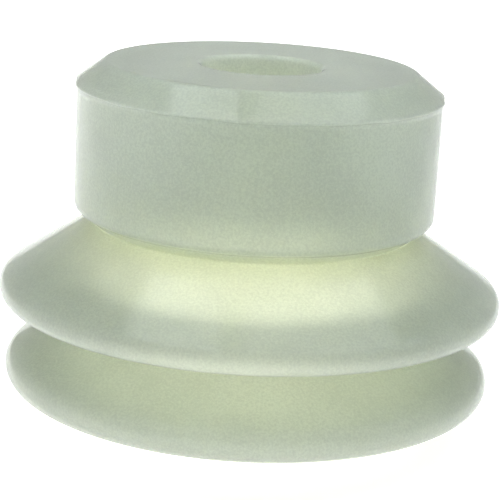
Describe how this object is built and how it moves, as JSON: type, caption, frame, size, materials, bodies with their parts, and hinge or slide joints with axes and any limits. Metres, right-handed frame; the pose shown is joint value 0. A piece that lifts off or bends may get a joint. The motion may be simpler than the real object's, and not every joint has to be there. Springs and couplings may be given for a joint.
{
  "type": "vacuum suction cup",
  "caption": "Bellows suction cup with one and a half folds, a thick mounting collar with a central bore, and a flared sealing lip.",
  "frame": {"origin": "centre of the sealing rim's plane, where the cup meets the work", "axes": "+Z along the cup's axis, from the sealing rim towards the mounting bore's mouth"},
  "size_m": [0.02, 0.02, 0.0129],
  "materials": {
    "silicone_thick": "satin",
    "silicone_thin": "satin"
  },
  "bodies": {
    "neck": {"mounting_collar": "silicone_thick"},
    "crest": {"crest_ring": "silicone_thin", "upper_wall": "silicone_thin"},
    "groove": {"groove_ring": "silicone_thin", "under_wall": "silicone_thin"},
    "lip": {"sealing_lip": "silicone_thin", "lip_wall": "silicone_thin"}
  },
  "joints": [
    {"name": "bellows_stroke", "type": "slide", "parent": "neck", "child": "groove", "axis": [0, 0, 1], "range_m": [-0.0005, 0.0018], "stiffness_N_per_m": 60, "deforming": ["under_wall"]},
    {"name": "crest_stroke", "type": "slide", "parent": "neck", "child": "crest", "axis": [0, 0, 1], "range_m": [-0.00035, 0.00125], "deforming": ["upper_wall"]},
    {"name": "lip_tilt", "type": "hinge", "parent": "groove", "child": "lip", "pos_m": [0, 0, 0.002], "axis": [0, 1, 0], "range_deg": [-6, 6], "stiffness_Nm_per_rad": 0.001, "deforming": ["lip_wall"]}
  ],
  "couplings": [
    {"joint": "crest_stroke", "follows": "bellows_stroke", "ratio": 0.68}
  ]
}
